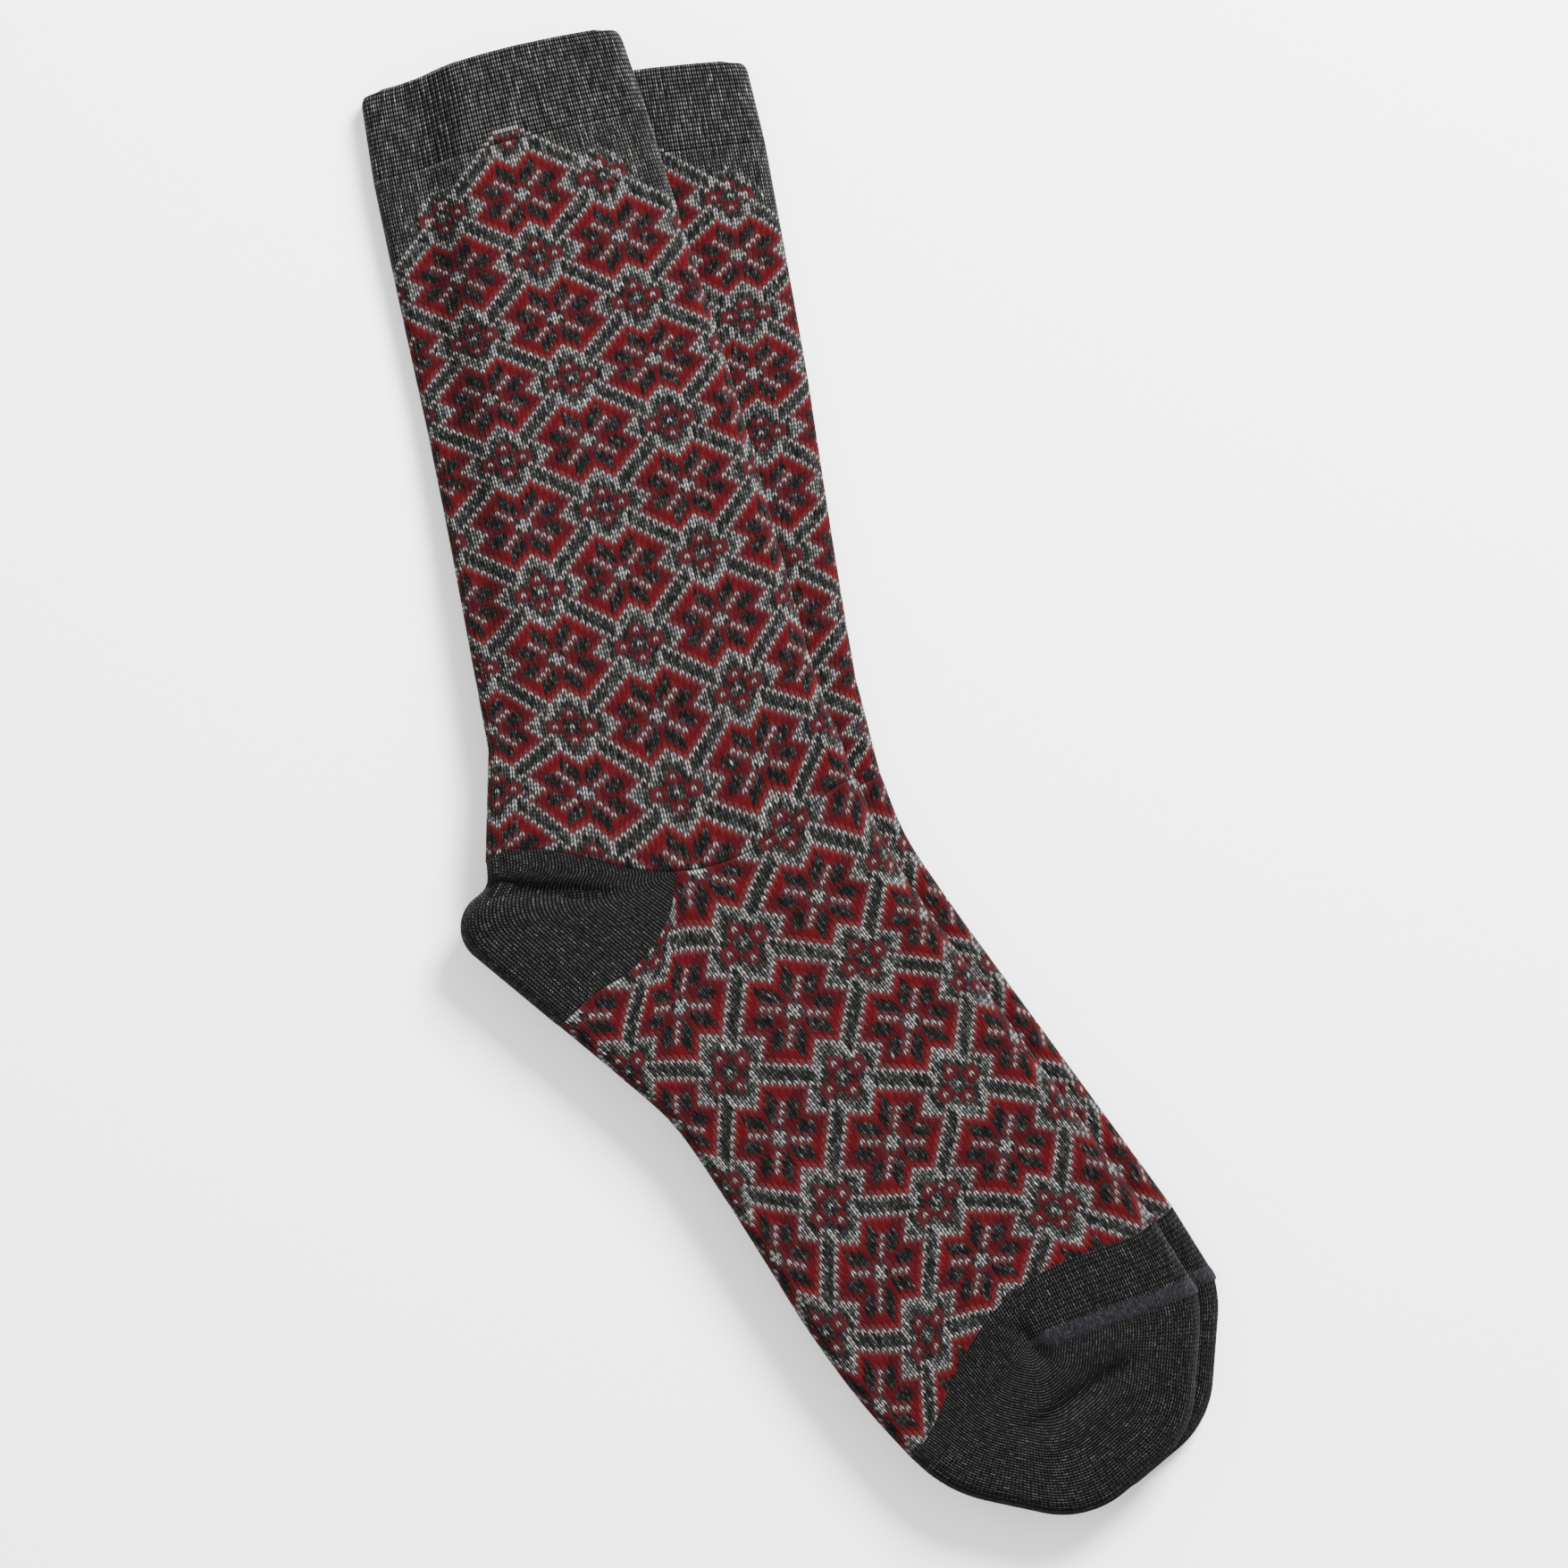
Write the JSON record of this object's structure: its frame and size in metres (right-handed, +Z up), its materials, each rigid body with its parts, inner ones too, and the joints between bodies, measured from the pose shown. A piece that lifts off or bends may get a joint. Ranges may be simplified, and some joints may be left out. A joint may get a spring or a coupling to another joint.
{
  "type": "pair of knitted socks",
  "caption": "Pair of patterned knitted crew socks lying flat on their sides, one on the other, with ribbed turned cuffs, heel pockets and toe caps.",
  "frame": {"origin": "on the surface the pair lies on, under the upper sock's ankle, where its leg axis and foot axis meet", "axes": "+Y along the upper sock's leg towards its cuff, +X towards the instep and toe side, +Z up through the pair's thickness"},
  "size_m": [0.1738, 0.4126, 0.0185],
  "materials": {
    "rib_knit": "ribbed grey marl knit",
    "rib_knit_inside": "inside of ribbed grey marl knit",
    "elastic_thread": "covered elastic thread",
    "patterned_knit": "multicolour jacquard knit, red and dark grey with light outlines",
    "plain_knit": "dark grey marl plain knit",
    "seam_yarn": "linked seam in dark grey yarn"
  },
  "bodies": {
    "lower_sock": {"lower_cuff": "rib_knit", "lower_cuff_lining": "rib_knit_inside", "lower_cuff_elastic": "elastic_thread", "lower_leg": "patterned_knit", "lower_heel": "plain_knit", "lower_foot": "patterned_knit", "lower_toe": "plain_knit", "lower_toe_seam": "seam_yarn"},
    "upper_sock": {"upper_cuff": "rib_knit", "upper_cuff_lining": "rib_knit_inside", "upper_cuff_elastic": "elastic_thread", "upper_leg": "patterned_knit", "upper_heel": "plain_knit", "upper_foot": "patterned_knit", "upper_toe": "plain_knit", "upper_toe_seam": "seam_yarn"}
  },
  "joints": [
    {"name": "upper_sock_lift", "type": "slide", "parent": "lower_sock", "child": "upper_sock", "axis": [0, 0, 1], "range_m": [0, 0.15]}
  ]
}
